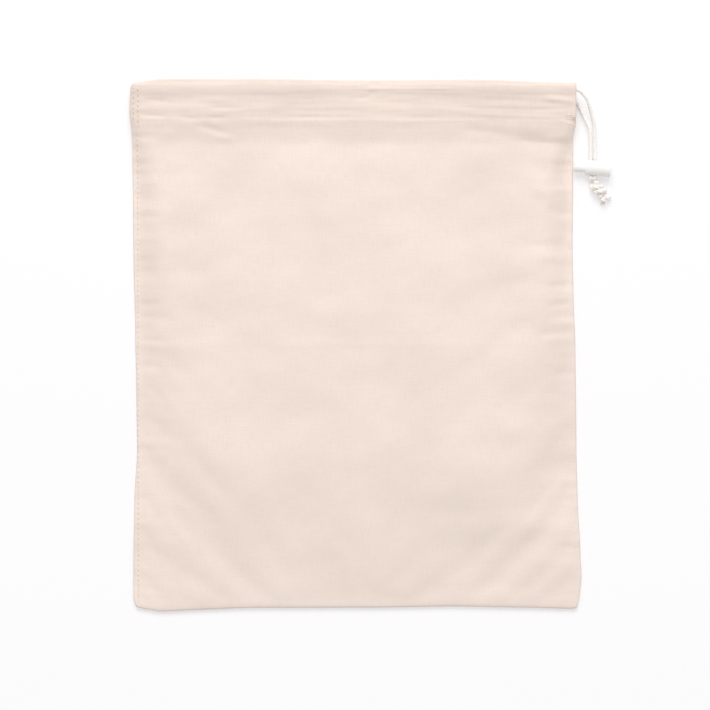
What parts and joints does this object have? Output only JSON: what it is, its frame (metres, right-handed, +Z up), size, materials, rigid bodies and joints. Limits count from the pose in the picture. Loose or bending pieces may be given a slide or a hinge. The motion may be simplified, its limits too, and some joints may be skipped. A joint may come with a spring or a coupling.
{
  "type": "drawstring shoe bag",
  "caption": "Flat cotton drawstring bag for a pair of shoes, lying on its back, with a corded casing at the mouth and a spring cord lock.",
  "frame": {"origin": "under the middle of the bag, on the table that its back lies on", "axes": "X across the bag to the right, Y towards the mouth, Z up out of the table through the front of the bag"},
  "size_m": [0.3283, 0.36, 0.0147],
  "materials": {
    "cotton_cloth": "unbleached plain-weave cotton, matt, faintly flecked",
    "sewing_thread": "cream cotton sewing thread",
    "cotton_cord": "twisted natural cotton cord, matt",
    "white_plastic": "moulded white polypropylene, slightly translucent",
    "spring_steel": "drawn spring wire"
  },
  "bodies": {
    "bag": {"front_panel": "cotton_cloth", "back_panel": "cotton_cloth", "front_casing": "cotton_cloth", "back_casing": "cotton_cloth", "casing_left_turn": "cotton_cloth", "left_seam_allowance": "cotton_cloth", "right_seam_allowance": "cotton_cloth", "left_seam_stitching": "sewing_thread", "right_seam_stitching": "sewing_thread", "front_casing_stitching": "sewing_thread", "back_casing_stitching": "sewing_thread", "left_casing_stitching": "sewing_thread", "right_slit_tack": "sewing_thread", "drawcord_in_casing": "cotton_cord", "drawcord_front_end": "cotton_cord", "drawcord_back_end": "cotton_cord", "drawcord_knot": "cotton_cord", "drawcord_tails": "cotton_cord"},
    "cord_lock": {"lock_barrel": "white_plastic", "lock_spring": "spring_steel"},
    "lock_button": {"lock_plunger": "white_plastic"}
  },
  "joints": [
    {"name": "lock_slide", "type": "slide", "parent": "bag", "child": "cord_lock", "axis": [0, 1, 0], "range_m": [0, 0.012]},
    {"name": "button_press", "type": "slide", "parent": "cord_lock", "child": "lock_button", "axis": [0.9976, -0.0698, 0], "range_m": [0, 0.003], "stiffness_N_per_m": 900, "springref_m": -0.004, "deforming": ["lock_spring"]}
  ]
}
